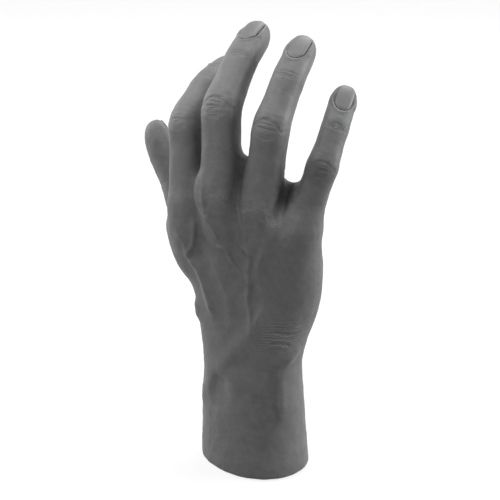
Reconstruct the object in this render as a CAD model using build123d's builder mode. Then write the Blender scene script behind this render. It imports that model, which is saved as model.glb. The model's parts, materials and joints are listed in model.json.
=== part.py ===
from build123d import *

import os
from math import asin, cos, degrees, radians, sin, tan

# Posable display hand, right, life size: a grey silicone skin over a jointed armature.
# Frame: origin at the middle of the flat cut of the forearm, +Z up along the forearm,
# -Y towards the back of the hand, +X towards the little finger. Millimetres.

# Forearm and palm, as elliptical sections: height, middle (x, y), width, depth, and how far
# the section is turned, its thumb side to the back of the hand
BASE_SECTION = dict(height=0, middle=(2.0, 0.0), width=61, depth=53, turn=0)
FOREARM_SECTION = dict(height=22, middle=(1.4, 0.0), width=59, depth=49, turn=0)
LOWER_WRIST_SECTION = dict(height=44, middle=(0.8, 0.0), width=57, depth=44, turn=0)
WRIST_SECTION = dict(height=65, middle=(0.3, 0.0), width=56, depth=41, turn=0)
HEEL_SECTION = dict(height=86, middle=(-0.3, 0.2), width=67, depth=39, turn=1)
PALM_SECTION = dict(height=106, middle=(-1.7, -0.7), width=80, depth=34, turn=4)
UPPER_PALM_SECTION = dict(height=126, middle=(-2.5, -3.0), width=87, depth=31, turn=8)
KNUCKLE_SECTION = dict(height=144, middle=(-3.5, -5.5), width=84, depth=30, turn=9)
CROWN_SECTION = dict(height=160, middle=(-4.0, -7.0), width=78, depth=27, turn=9)

# Soft pads of the palm, as ellipsoids: middle and half sizes
PADS = {
    "little_side": dict(middle=(21.5, 6.5, 107), half_sizes=(16, 14.5, 32)),
    "thumb_side": dict(middle=(-24, 13, 94), half_sizes=(17, 14.5, 27)),
    "finger_row": dict(middle=(-5, 1.5, 139), half_sizes=(41, 12, 21)),
}

# Fingers: middle of the knuckle, the way the first link points (lean to the palm, splay to
# the little finger, roll about its own line), and for each link from knuckle to tip its
# length, how far it is bent from the link before, and the skin's width and depth at its
# lower end. The last width and depth are those of the fingertip's pad. The root's pad is
# the depth that the first link has more on its palm side at the knuckle.
FINGERS = {
    "index": dict(
        knuckle=(-33, -8, 145), lean=13, splay=-7.4, roll=-10,
        lengths=(43, 26, 25), bends=(0, 44, 19), root_pad=6,
        widths=(20.5, 20.5, 17.5, 16), depths=(21, 18.5, 15.5, 13.5),
    ),
    "middle": dict(
        knuckle=(-13, -11, 153), lean=10.5, splay=-4.2, roll=-3,
        lengths=(46.5, 29.5, 26), bends=(0, 40, 11), root_pad=9,
        widths=(20.5, 21, 18, 16.5), depths=(21.5, 19, 16, 14),
    ),
    "ring": dict(
        knuckle=(8, -6, 149), lean=4, splay=5.3, roll=4,
        lengths=(43, 28, 26), bends=(0, 39, 12), root_pad=8,
        widths=(20, 20, 17.5, 16), depths=(21, 18.5, 15.5, 13.5),
    ),
    "little": dict(
        knuckle=(27.5, 2, 139.5), lean=7, splay=16.5, roll=20,
        lengths=(34, 20.5, 24), bends=(0, 29, 16), root_pad=4,
        widths=(18.5, 17.5, 15.5, 14), depths=(19, 16.5, 14, 12),
    ),
    "thumb": dict(
        knuckle=(-46, 24, 111), lean=12.8, splay=-28, roll=137,
        lengths=(36, 33), bends=(0, 3), root_pad=0,
        widths=(22, 21, 20), depths=(22, 19, 15.5),
    ),
}
LINK_NAMES = {3: ("base", "mid", "tip"), 2: ("base", "tip")}

# Skin of the links: slimmer between the joints, and the rounding of the tips beyond the pad
SKIN_WAIST = 0.95
PAD_PLACE = 0.55
TIP_ROUND_ANGLES = (35, 60, 78)
TIP_ROUND_POWER = 0.8

# Cuts in the palm around the knuckles
KNUCKLE_CUT_REACH = 45
KNUCKLE_SIDE_ROOM = 3
KNUCKLE_CROWN = 2

# Thumb's ball, from the wrist to the thumb's knuckle
THUMB_ROOT = (-19, 8, 74)
THUMB_ROOT_WIDTH = 32
THUMB_ROOT_DEPTH = 30

# Fold of skin from below the thumb's knuckle to the index side of the palm
FOLD_START = (-45, 20, 106)
FOLD_END = (-36, -3, 129)
FOLD_RADIUS = 9

# Reach of the joints: the bend at which each closes, and the knuckles' play from rest
STRAIGHT_BEND = 0
MID_CLOSED_BEND = 75
TIP_CLOSED_BEND = 55
KNUCKLE_BACK = 15
KNUCKLE_FORWARD = 20
THUMB_BACK = 12
THUMB_FORWARD = 12
THUMB_TIP_BACK = 3
THUMB_TIP_CLOSED_BEND = 33

# Armature: ball knuckles with a slot, a tongue and a pin, on round links
BALL_SHARE = 0.41
TONGUE_SHARE = 0.66
LINK_SHARE = 0.30
PIN_RADIUS = 1.2
PIN_RUNNING_GAP = 0.05
SLOT_GAP = 0.25
BALL_GAP = 0.3
LINK_FIT = 0.05
END_GAP = 0.25
TIP_LINK_SHARE = 0.62
SLOT_SWING_MARGIN = 6
SLOT_FAN_SIDES = 6

# Wrist armature
ROD_RADIUS = 3.5
BLOCK_WIDTH = 46
BLOCK_DEPTH = 16
BLOCK_HEIGHT = 18
BLOCK_LEVEL = 66
ROD_STARTS = {
    "index": (-10, -3, 75),
    "middle": (-1, -3, 77),
    "ring": (8, -2, 76),
    "little": (17, 1, 75),
    "thumb": (-17, 3, 71),
}
POST_RADIUS = 8
TENON_RADIUS = 5
TENON_LENGTH = 9
FLANGE_RADIUS = 17
FLANGE_THICKNESS = 5
PLATE_WIDTH = 49
PLATE_DEPTH = 40
PLATE_THICKNESS = 4
PLATE_FIT = 0.1
SCREW_RADIUS = 2
SCREW_HEAD_RADIUS = 4
SCREW_LENGTH = 8
SCREW_CIRCLE_RADIUS = 12
SCREW_COUNT = 3
SCREW_HEAD_ANGLE = 90

# Fingernails: plates set into the back of the tips
NAIL_LENGTH_SHARE = 0.52
NAIL_WIDTH_SHARE = 0.80
NAIL_THICKNESS = 0.9
NAIL_PROUD = 0.2
NAIL_FREE_EDGE = 1.5
NAIL_DROP = 9

os.makedirs("parts", exist_ok=True)


def save(part, name):
    part.label = name
    export_step(part, f"parts/{name}.step")


def turned(plane, line, angle):
    axis = Axis((0, 0, 0), line)
    return Plane(
        origin=plane.origin,
        x_dir=plane.x_dir.rotate(axis, angle),
        z_dir=plane.z_dir.rotate(axis, angle),
    )


def root_plane(finger):
    # Local axes of a link: x to the side, y to the palm, z along the link
    pointing = Vector(0, 0, 1).rotate(Axis.X, -finger["lean"]).rotate(Axis.Y, finger["splay"])
    side = pointing.cross(Vector(0, -1, 0)).normalized()
    plane = Plane(origin=finger["knuckle"], x_dir=side, z_dir=pointing)
    return turned(plane, plane.z_dir, finger["roll"])


def link_planes(finger):
    planes = []
    plane = root_plane(finger)
    for length, bend in zip(finger["lengths"], finger["bends"]):
        plane = turned(plane, plane.x_dir, -bend)
        planes.append(plane)
        plane = plane.offset(length)
    return planes


def hinge_plane(plane):
    # Sketch axes: first to the palm, second along the link; its normal is the hinge line
    return Plane(origin=plane.origin, x_dir=plane.y_dir, z_dir=plane.x_dir)


def joint_reach(name, number):
    # How far the joint turns back and forward from the pose it is shown in
    bend = FINGERS[name]["bends"][number]
    if name == "thumb":
        return ((THUMB_BACK, THUMB_FORWARD), (THUMB_TIP_BACK, THUMB_TIP_CLOSED_BEND - bend))[number]
    if number == 0:
        return KNUCKLE_BACK, KNUCKLE_FORWARD
    closed = MID_CLOSED_BEND if number == 1 else TIP_CLOSED_BEND
    return bend - STRAIGHT_BEND, closed - bend


def end_tilt(name, number):
    # Slope of the palm side of the two faces that meet when the joint closes
    if number == 0:
        return 0
    return (FINGERS[name]["bends"][number] + joint_reach(name, number)[1]) / 2


def ball_radius(finger, number):
    return BALL_SHARE * min(finger["widths"][number], finger["depths"][number])


def shaft_radius(finger, number):
    return LINK_SHARE * ball_radius(finger, number)


def tongue_radius(finger, number):
    return TONGUE_SHARE * ball_radius(finger, number)


def fork_cut(name, number, plane):
    # Slot in a ball knuckle: room for the tongue and for its link over the whole swing
    finger = FINGERS[name]
    back, forward = joint_reach(name, number)
    reach = 2 * ball_radius(finger, number)
    room = tongue_radius(finger, number) + SLOT_GAP
    spread = degrees(asin(shaft_radius(finger, number) / room)) + SLOT_SWING_MARGIN
    first, last = -back - spread, forward + spread
    fan = [(0, 0)]
    for step in range(SLOT_FAN_SIDES + 1):
        angle = radians(first + (last - first) * step / SLOT_FAN_SIDES)
        fan.append((reach * sin(angle), reach * cos(angle)))
    with BuildPart() as slot:
        with BuildSketch(hinge_plane(plane)):
            Polygon(*fan, align=None)
            Circle(room)
        extrude(amount=shaft_radius(finger, number) + SLOT_GAP, both=True)
    return slot.part


def face_cut(plane, level, tilt, side, reach):
    # What lies beyond one end of a skin: level with the joint behind, sloped to the palm
    slope = reach * tan(radians(tilt))
    if side > 0:
        outline = [(-reach, level), (0, level), (reach, level - slope), (reach, level + reach),
                   (-reach, level + reach)]
    else:
        outline = [(-reach, level), (0, level), (reach, level + slope), (reach, level - reach),
                   (-reach, level - reach)]
    with BuildPart() as cut:
        with BuildSketch(hinge_plane(plane)):
            Polygon(*outline, align=None)
        extrude(amount=reach, both=True)
    return cut.part


def make_pin(finger, number, plane):
    radius = ball_radius(finger, number)
    with BuildPart() as pin:
        with Locations(plane):
            Cylinder(PIN_RADIUS, 2 * (radius**2 - PIN_RADIUS**2) ** 0.5, rotation=(0, 90, 0))
    return pin.part


def add_fork(name, number, plane):
    # Ball knuckle at the far end of a link or rod, inside that piece's builder
    finger = FINGERS[name]
    radius = ball_radius(finger, number)
    with Locations(plane):
        Sphere(radius)
    add(fork_cut(name, number, plane), mode=Mode.SUBTRACT)
    with Locations(plane):
        Cylinder(PIN_RADIUS, 3 * radius, rotation=(0, 90, 0), mode=Mode.SUBTRACT)


def make_link(name, number, planes):
    finger = FINGERS[name]
    last = number == len(planes) - 1
    length = finger["lengths"][number] * (TIP_LINK_SHARE if last else 1)
    half_tongue = shaft_radius(finger, number)
    with BuildPart() as link:
        with Locations(planes[number]):
            Cylinder(half_tongue, length, align=(Align.CENTER, Align.CENTER, Align.MIN))
            Cylinder(tongue_radius(finger, number), 2 * half_tongue, rotation=(0, 90, 0))
        if not last:
            add_fork(name, number + 1, planes[number + 1])
        with Locations(planes[number]):
            Cylinder(PIN_RADIUS + PIN_RUNNING_GAP, 4 * half_tongue, rotation=(0, 90, 0), mode=Mode.SUBTRACT)
    return link.part


def make_nail(finger, plane):
    length = finger["lengths"][-1]
    nail_length = NAIL_LENGTH_SHARE * length
    root = length - nail_length - NAIL_FREE_EDGE
    share = root / length
    width = finger["widths"][-2] * (1 - share) + finger["widths"][-1] * share
    depth = finger["depths"][-2] * (1 - share) + finger["depths"][-1] * share
    seat = turned(plane.offset(root), plane.x_dir, -NAIL_DROP)
    with BuildPart() as nail:
        with BuildSketch(seat):
            Ellipse(width / 2 + NAIL_PROUD, depth / 2 + NAIL_PROUD)
            Ellipse(width / 2 + NAIL_PROUD - NAIL_THICKNESS, depth / 2 + NAIL_PROUD - NAIL_THICKNESS,
                    mode=Mode.SUBTRACT)
            with Locations((0, -depth / 2)):
                Rectangle(NAIL_WIDTH_SHARE * width, depth, mode=Mode.INTERSECT)
        extrude(amount=nail_length)
    return nail.part


def skin_stations(finger, number, last):
    # Places along a link with the skin's width and depth there and its shift to the palm:
    # full at the joints and a little slimmer between them, or rounded off to the fingertip
    length = finger["lengths"][number]
    width, depth = finger["widths"][number], finger["depths"][number]
    next_width, next_depth = finger["widths"][number + 1], finger["depths"][number + 1]
    if not last:
        pad = finger["root_pad"] if number == 0 else 0
        waist = SKIN_WAIST * (width + next_width) / 2, SKIN_WAIST * (depth + next_depth) / 2
        return [
            (0, width, depth + pad, pad / 2),
            (length / 2, *waist, 0),
            (length, next_width, next_depth, 0),
        ]
    pad = PAD_PLACE * length
    stations = [(0, width, depth, 0), (pad, next_width, next_depth, 0)]
    for angle in TIP_ROUND_ANGLES:
        along = pad + (length - pad) * sin(radians(angle))
        size = cos(radians(angle)) ** TIP_ROUND_POWER
        stations.append((along, next_width * size, next_depth * size, 0))
    return stations


def make_skin(name, number, planes, nail):
    finger = FINGERS[name]
    plane = planes[number]
    last = number == len(planes) - 1
    length = finger["lengths"][number]
    reach = 2 * finger["widths"][0]
    with BuildPart() as skin:
        for along, width, depth, shift in skin_stations(finger, number, last):
            with BuildSketch(plane.offset(along)):
                with Locations((0, shift)):
                    Ellipse(width / 2, depth / 2)
        if last:
            tip = plane.offset(length).origin
            loft(sections=skin.pending_faces + [Vertex(*tip)])
        else:
            loft()
        add(face_cut(plane, END_GAP, end_tilt(name, number), -1, reach), mode=Mode.SUBTRACT)
        with Locations(plane):
            Sphere(ball_radius(finger, number) + BALL_GAP, mode=Mode.SUBTRACT)
            bore = length * (TIP_LINK_SHARE if last else 1) + (LINK_FIT if last else 0)
            Cylinder(shaft_radius(finger, number) + LINK_FIT, bore,
                     align=(Align.CENTER, Align.CENTER, Align.MIN), mode=Mode.SUBTRACT)
        if not last:
            far_end = plane.offset(length)
            add(face_cut(far_end, -END_GAP, end_tilt(name, number + 1), 1, reach), mode=Mode.SUBTRACT)
            with Locations(far_end):
                Sphere(ball_radius(finger, number + 1) + BALL_GAP, mode=Mode.SUBTRACT)
        else:
            add(nail, mode=Mode.SUBTRACT)
    return skin.part


# Fingers: skins, links, pins and nails
planes_of = {name: link_planes(finger) for name, finger in FINGERS.items()}
for name, finger in FINGERS.items():
    planes = planes_of[name]
    nail = make_nail(finger, planes[-1])
    save(nail, f"{name}_nail")
    for number, link_name in enumerate(LINK_NAMES[len(planes)]):
        save(make_pin(finger, number, planes[number]), f"{name}_{link_name}_pin")
        save(make_link(name, number, planes), f"{name}_{link_name}_link")
        save(make_skin(name, number, planes, nail), f"{name}_{link_name}_skin")


# Metacarpal rods, from the wrist block to the knuckles
def rod_line(name):
    return Vector(*ROD_STARTS[name]), Vector(*FINGERS[name]["knuckle"])


def rod_plane(name):
    start, knuckle = rod_line(name)
    return Plane(origin=start, z_dir=knuckle - start)


for name in FINGERS:
    start, knuckle = rod_line(name)
    with BuildPart() as rod:
        with Locations(rod_plane(name)):
            Cylinder(ROD_RADIUS, (knuckle - start).length, align=(Align.CENTER, Align.CENTER, Align.MIN))
        add_fork(name, 0, planes_of[name][0])
    save(rod.part, f"{name}_metacarpal_rod")

# Base plate, flush in the cut of the forearm, and its screws
plate_middle = BASE_SECTION["middle"]
with BuildPart() as base_plate:
    with BuildSketch():
        with Locations(plate_middle):
            Ellipse(PLATE_WIDTH / 2, PLATE_DEPTH / 2)
    extrude(amount=PLATE_THICKNESS)
    with Locations(Plane(origin=(*plate_middle, 0), x_dir=(1, 0, 0), z_dir=(0, 0, -1))):
        with PolarLocations(SCREW_CIRCLE_RADIUS, SCREW_COUNT):
            CounterSinkHole(SCREW_RADIUS, SCREW_HEAD_RADIUS, PLATE_THICKNESS, SCREW_HEAD_ANGLE)
save(base_plate.part, "base_plate")

head_depth = (SCREW_HEAD_RADIUS - SCREW_RADIUS) / tan(radians(SCREW_HEAD_ANGLE / 2))
with BuildPart() as base_screws:
    with Locations(Plane(origin=(*plate_middle, 0))):
        with PolarLocations(SCREW_CIRCLE_RADIUS, SCREW_COUNT):
            Cone(SCREW_HEAD_RADIUS, SCREW_RADIUS, head_depth, align=(Align.CENTER, Align.CENTER, Align.MIN))
            Cylinder(SCREW_RADIUS, SCREW_LENGTH, align=(Align.CENTER, Align.CENTER, Align.MIN))
save(base_screws.part, "base_screws")

# Wrist post on its flange, with a tenon that stands in the wrist block
with BuildPart() as wrist_post:
    with Locations((*plate_middle, PLATE_THICKNESS)):
        Cylinder(FLANGE_RADIUS, FLANGE_THICKNESS, align=(Align.CENTER, Align.CENTER, Align.MIN))
        Cylinder(POST_RADIUS, BLOCK_LEVEL - PLATE_THICKNESS, align=(Align.CENTER, Align.CENTER, Align.MIN))
        Cylinder(TENON_RADIUS, BLOCK_LEVEL - PLATE_THICKNESS + TENON_LENGTH,
                 align=(Align.CENTER, Align.CENTER, Align.MIN))
    add(base_screws.part, mode=Mode.SUBTRACT)
save(wrist_post.part, "wrist_post")

# Wrist block, with a seat for each rod and for the post's tenon
with BuildPart() as wrist_block:
    with Locations((0, 0, BLOCK_LEVEL)):
        Box(BLOCK_WIDTH, BLOCK_DEPTH, BLOCK_HEIGHT, align=(Align.CENTER, Align.CENTER, Align.MIN))
    add(wrist_post.part, mode=Mode.SUBTRACT)
    for name in FINGERS:
        with Locations(rod_plane(name)):
            Cylinder(ROD_RADIUS, 3 * BLOCK_HEIGHT, align=(Align.CENTER, Align.CENTER, Align.MIN),
                     mode=Mode.SUBTRACT)
save(wrist_block.part, "wrist_block")


def knuckle_cut(name):
    # Room above a knuckle: the finger's root over its whole swing
    finger = FINGERS[name]
    back, forward = joint_reach(name, 0)
    reach = KNUCKLE_CUT_REACH
    outline = [
        (-reach, reach),
        (-reach, -reach * tan(radians(back)) - END_GAP),
        (0, -END_GAP),
        (reach, -reach * tan(radians(forward)) - END_GAP),
        (reach, reach),
    ]
    with BuildPart() as cut:
        with BuildSketch(hinge_plane(planes_of[name][0])):
            Polygon(*outline, align=None)
        extrude(amount=finger["widths"][0] / 2 + KNUCKLE_SIDE_ROOM, both=True)
    return cut.part


def make_pad(pad):
    with BuildPart() as ball:
        Sphere(1)
        scale(by=pad["half_sizes"])
    return ball.part


# Row of the knuckles seen from behind: the palm ends a little above it
row = [FINGERS[name]["knuckle"] for name in ("index", "middle", "ring", "little")]
crown = [(x, z + KNUCKLE_CROWN) for x, y, z in row]
crown_height = CROWN_SECTION["height"] + KNUCKLE_CROWN
first, last = crown[0], crown[-1]
crown = [(first[0] - KNUCKLE_CUT_REACH, first[1])] + crown
crown = crown + [(last[0] + KNUCKLE_CUT_REACH, last[1]), (last[0] + KNUCKLE_CUT_REACH, crown_height)]
crown = crown + [(first[0] - KNUCKLE_CUT_REACH, crown_height)]

# Palm skin: forearm, palm and the ball of the thumb in one, open at the knuckles
thumb_knuckle = planes_of["thumb"][0]
thumb_line = thumb_knuckle.origin - Vector(*THUMB_ROOT)
thumb_root = Plane(origin=THUMB_ROOT, x_dir=thumb_knuckle.x_dir, z_dir=thumb_line)
fold_line = Vector(*FOLD_END) - Vector(*FOLD_START)
arm_sections = (BASE_SECTION, FOREARM_SECTION, LOWER_WRIST_SECTION, WRIST_SECTION)
hand_sections = (WRIST_SECTION, HEEL_SECTION, PALM_SECTION, UPPER_PALM_SECTION, KNUCKLE_SECTION,
                 CROWN_SECTION)
with BuildPart() as palm_skin:
    for sections in (arm_sections, hand_sections):
        for section in sections:
            with BuildSketch(Plane.XY.offset(section["height"])):
                with Locations(section["middle"]):
                    Ellipse(section["width"] / 2, section["depth"] / 2, rotation=section["turn"])
        loft()
    for pad in PADS.values():
        with Locations(pad["middle"]):
            add(make_pad(pad))
    with Locations(Plane(origin=FOLD_START, z_dir=fold_line)):
        Cylinder(FOLD_RADIUS, fold_line.length, align=(Align.CENTER, Align.CENTER, Align.MIN))
    with Locations(FOLD_START, FOLD_END):
        Sphere(FOLD_RADIUS)
    with BuildSketch(thumb_root):
        Ellipse(THUMB_ROOT_WIDTH / 2, THUMB_ROOT_DEPTH / 2)
    with BuildSketch(thumb_knuckle):
        Ellipse(FINGERS["thumb"]["widths"][0] / 2, FINGERS["thumb"]["depths"][0] / 2)
    loft()
    with BuildSketch(Plane.XZ):
        Polygon(*crown, align=None)
    extrude(amount=KNUCKLE_CUT_REACH, both=True, mode=Mode.SUBTRACT)
    for name, finger in FINGERS.items():
        add(knuckle_cut(name), mode=Mode.SUBTRACT)
        with Locations(planes_of[name][0]):
            Sphere(ball_radius(finger, 0) + BALL_GAP, mode=Mode.SUBTRACT)
        start, knuckle = rod_line(name)
        with Locations(rod_plane(name)):
            Cylinder(ROD_RADIUS + LINK_FIT, (knuckle - start).length,
                     align=(Align.CENTER, Align.CENTER, Align.MIN), mode=Mode.SUBTRACT)
    with Locations((0, 0, BLOCK_LEVEL)):
        Box(BLOCK_WIDTH, BLOCK_DEPTH, BLOCK_HEIGHT, align=(Align.CENTER, Align.CENTER, Align.MIN),
            mode=Mode.SUBTRACT)
    with BuildSketch():
        with Locations(plate_middle):
            Ellipse(PLATE_WIDTH / 2 + PLATE_FIT, PLATE_DEPTH / 2 + PLATE_FIT)
    extrude(amount=PLATE_THICKNESS, mode=Mode.SUBTRACT)
    with Locations((*plate_middle, 0)):
        Cylinder(FLANGE_RADIUS + PLATE_FIT, PLATE_THICKNESS + FLANGE_THICKNESS,
                 align=(Align.CENTER, Align.CENTER, Align.MIN), mode=Mode.SUBTRACT)
        Cylinder(POST_RADIUS + LINK_FIT, BLOCK_LEVEL, align=(Align.CENTER, Align.CENTER, Align.MIN),
                 mode=Mode.SUBTRACT)
save(palm_skin.part, "palm_skin")
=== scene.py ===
import bpy, bmesh, json, math
import numpy as np
import openvdb
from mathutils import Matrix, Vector

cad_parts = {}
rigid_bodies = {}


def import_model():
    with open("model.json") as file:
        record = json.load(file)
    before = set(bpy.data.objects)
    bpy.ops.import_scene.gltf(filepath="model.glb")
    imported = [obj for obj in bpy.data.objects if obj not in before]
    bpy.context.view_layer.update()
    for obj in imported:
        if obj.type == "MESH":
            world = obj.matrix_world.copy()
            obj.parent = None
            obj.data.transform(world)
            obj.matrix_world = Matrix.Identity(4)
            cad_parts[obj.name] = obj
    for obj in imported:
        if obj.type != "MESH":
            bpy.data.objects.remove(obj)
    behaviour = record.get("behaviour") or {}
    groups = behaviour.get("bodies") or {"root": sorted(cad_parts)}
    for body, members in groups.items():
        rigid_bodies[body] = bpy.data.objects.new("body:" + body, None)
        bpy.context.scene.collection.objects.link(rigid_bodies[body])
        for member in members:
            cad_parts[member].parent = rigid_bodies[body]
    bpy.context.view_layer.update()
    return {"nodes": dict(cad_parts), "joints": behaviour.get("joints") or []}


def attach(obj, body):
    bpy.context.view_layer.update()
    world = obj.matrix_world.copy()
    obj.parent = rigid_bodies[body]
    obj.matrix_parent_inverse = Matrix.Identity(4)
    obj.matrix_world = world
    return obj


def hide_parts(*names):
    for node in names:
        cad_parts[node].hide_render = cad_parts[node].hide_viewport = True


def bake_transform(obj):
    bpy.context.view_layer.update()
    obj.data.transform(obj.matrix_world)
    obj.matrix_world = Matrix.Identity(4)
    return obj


for old in list(bpy.data.objects):
    bpy.data.objects.remove(old)
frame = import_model()
print("frame loaded")

# everything is sculpted in millimetres and scaled to metres when a mesh is made
mm = 0.001
veryFar = 1e9  # start of a search for the nearest

hingeOf = {hinge["name"]: hinge for hinge in frame["joints"]}


def unit(v):
    v = np.asarray(v, float)
    return v / np.linalg.norm(v)


def hingePoint(name):
    return np.array(hingeOf[name]["pos_m"]) / mm


def hingeSide(name):
    return -unit(hingeOf[name]["axis"])


# soft joins of two distance fields
def melt(a, b, k):
    h = np.clip(0.5 + 0.5 * (b - a) / k, 0, 1)
    return b + (a - b) * h - k * h * (1 - h)


def carve(a, b, k):
    return -melt(-a, b, k)


def rod(p, a, b, ra, rb):
    a, b = np.asarray(a, float), np.asarray(b, float)
    ab = b - a
    t = np.clip((p - a) @ ab / (ab @ ab), 0, 1)
    d = np.sqrt((((p - a) - t[:, None] * ab) ** 2).sum(1))
    return d - (ra + (rb - ra) * t)


def egg(p, c, r):
    q = p - np.asarray(c, float)
    r = np.asarray(r, float)
    k0 = np.sqrt(((q / r) ** 2).sum(1)) + 1e-6
    k1 = np.sqrt(((q / r ** 2) ** 2).sum(1)) + 1e-6
    return k0 * (k0 - 1) / k1


def easeTable(xs, ys, count=400):
    # smooth curve through a few stations, as a fine table for np.interp
    xs, ys = np.asarray(xs, float), np.asarray(ys, float)
    slope = np.gradient(ys, xs, axis=0)
    fine = np.linspace(xs[0], xs[-1], count)
    i = np.clip(np.searchsorted(xs, fine) - 1, 0, len(xs) - 2)
    h = xs[i + 1] - xs[i]
    t = ((fine - xs[i]) / h)[:, None]
    h = h[:, None]
    out = ((1 + 2 * t) * (1 - t) ** 2 * ys[i] + t * (1 - t) ** 2 * h * slope[i]
           + t * t * (3 - 2 * t) * ys[i + 1] + t * t * (t - 1) * h * slope[i + 1])
    return fine, out


# fingers: scale against the common shape, the last link, which no hinge ends, and the nail's share of
# the width
fingers = {
    "index": {"wide": 0.96, "back": 1.06, "pad": 0.98, "tipLength": 26.5, "tipBend": 19, "nail": 0.62,
              "folds": 0.55},
    "middle": {"wide": 1.005, "back": 1.03, "pad": 1.02, "tipLength": 28, "tipBend": 11, "nail": 0.6},
    "ring": {"wide": 0.965, "back": 0.98, "pad": 0.98, "tipLength": 28, "tipBend": 12, "nail": 0.6},
    "little": {"wide": 0.84, "back": 0.865, "pad": 0.87, "tipLength": 25.8, "tipBend": 16, "nail": 0.66},
    "thumb": {"wide": 0.98, "back": 0.98, "pad": 1.0, "tipLength": 34, "tipBend": 3, "nail": 0.56,
              "folds": 0.3},
}
# link, share of it, half width, height of the back, depth of the pad side
fingerShape = [
    (0, -0.45, 9.0, 7.5, 10.5), (0, 0.0, 9.9, 9.8, 11.3), (0, 0.25, 9.9, 9.3, 11.5),
    (0, 0.5, 9.8, 8.9, 10.8), (0, 0.75, 9.7, 8.7, 9.6), (1, 0.0, 10.1, 9.5, 8.6),
    (1, 0.28, 9.3, 8.6, 9.0), (1, 0.6, 8.7, 7.9, 8.7), (2, 0.0, 8.8, 7.5, 7.5),
    (2, 0.22, 8.6, 7.1, 7.7), (2, 0.45, 8.5, 6.7, 7.8), (2, 0.62, 8.4, 6.3, 7.5), (2, 1.0, 8.1, 5.8, 6.9),
]
thumbShape = [
    (0, -0.5, 10.5, 9.5, 12.0), (0, 0.0, 11.2, 10.6, 11.0), (0, 0.35, 10.2, 9.4, 10.2),
    (0, 0.7, 10.0, 9.0, 9.4), (1, 0.0, 10.5, 9.4, 8.8), (1, 0.25, 10.3, 8.3, 9.2),
    (1, 0.5, 10.2, 7.0, 9.4), (1, 0.7, 9.7, 6.2, 8.8), (1, 1.0, 9.2, 5.6, 8.0),
]
# middle line: lead-in before the knuckle, rounding at a hinge, reach past both ends, start of the rounded
# tip on the last link for two and three links, and room round a finger where its field is worked out
fingerLine = {"lead": 30.0, "round": 7.0, "roundShare": 0.3, "roundPoints": 7, "before": 30, "after": 40,
              "tip": {2: 0.58, 3: 0.55}, "roomLow": 40, "roomHigh": 24}
hingeEnds = ("_base_bend", "_mid_bend", "_tip_bend")


def layFinger(name, spec):
    hinges = [hingePoint(name + end) for end in hingeEnds if name + end in hingeOf]
    root, side = hinges[0], hingeSide(name + "_base_bend")
    along = unit(hinges[1] - hinges[0])
    side = unit(side - along * (side @ along))
    palmWay = np.cross(along, side)
    flat = [np.array([(h - root) @ along, (h - root) @ palmWay]) for h in hinges]
    turn = math.atan2(*(flat[-1] - flat[-2])[::-1]) + math.radians(spec["tipBend"])
    flat.append(flat[-1] + spec["tipLength"] * np.array([math.cos(turn), math.sin(turn)]))
    # the middle line, straight along the links and rounded at the hinges
    line, hingeAt = [np.array([-fingerLine["lead"], 0.0]), flat[0]], [1]
    for a, j, b in zip(flat, flat[1:], flat[2:]):
        r = min(fingerLine["round"], fingerLine["roundShare"] * np.linalg.norm(b - j))
        p0, p2 = j + unit(a - j) * r, j + unit(b - j) * r
        for t in np.linspace(0, 1, fingerLine["roundPoints"]):
            if t == 0.5:
                hingeAt.append(len(line))
            line.append((1 - t) ** 2 * p0 + 2 * t * (1 - t) * j + t * t * p2)
    hingeAt.append(len(line))
    line.append(flat[-1])
    line = np.array(line)
    step = np.linalg.norm(np.diff(line, axis=0), axis=1)
    run = np.concatenate([[0], np.cumsum(step)]) - step[0]
    stops = [run[i] for i in hingeAt]
    shape = thumbShape if len(hinges) == 2 else fingerShape
    places, sizes = [], []
    for link, share, wide, back, pad in shape:
        places.append(stops[link] + share * (stops[link + 1] - stops[link]))
        sizes.append((wide * spec["wide"], back * spec["back"], pad * spec["pad"]))
    fine, table = easeTable(places, sizes)
    capStart = stops[-2] + fingerLine["tip"][len(hinges)] * (stops[-1] - stops[-2])
    corners = root + line[1:, :1] * along + line[1:, 1:] * palmWay
    spec.update(root=root, side=side, along=along, palmWay=palmWay, line=line, run=run, stops=stops)
    spec.update(fine=fine, table=table, capStart=capStart, capEnd=stops[-1])
    spec["stations"] = hinges + [corners[-1]]
    spec["low"] = corners.min(0) - fingerLine["roomLow"]
    spec["high"] = corners.max(0) + fingerLine["roomHigh"]


for name, spec in fingers.items():
    layFinger(name, spec)


def fingerPlace(p, spec):
    # run along the middle line, sideways offset and offset to the pad side
    q = p - spec["root"]
    u, v, x = q @ spec["along"], q @ spec["palmWay"], q @ spec["side"]
    best = np.full(len(p), veryFar)
    s, y = np.zeros(len(p)), np.zeros(len(p))
    line, run = spec["line"], spec["run"]
    last = len(line) - 2
    for i in range(last + 1):
        e = line[i + 1] - line[i]
        length = np.linalg.norm(e)
        e = e / length
        du, dv = u - line[i, 0], v - line[i, 1]
        start = -fingerLine["before"] if i == 0 else 0
        end = length + (fingerLine["after"] if i == last else 0)
        t = np.clip(du * e[0] + dv * e[1], start, end)
        ou, ov = du - t * e[0], dv - t * e[1]
        d = ou * ou + ov * ov
        near = d < best
        best[near] = d[near]
        s[near] = run[i] + t[near]
        y[near] = (np.sqrt(d) * np.sign(ov * e[0] - ou * e[1]))[near]
    return s, x, y


# section of a finger, where a squareness of 2 is an ellipse, and the rounding of its two ends
fingerForm = {"squareness": 2.5, "endRound": 2.5, "rootAt": -6, "rootLength": 16}


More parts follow.
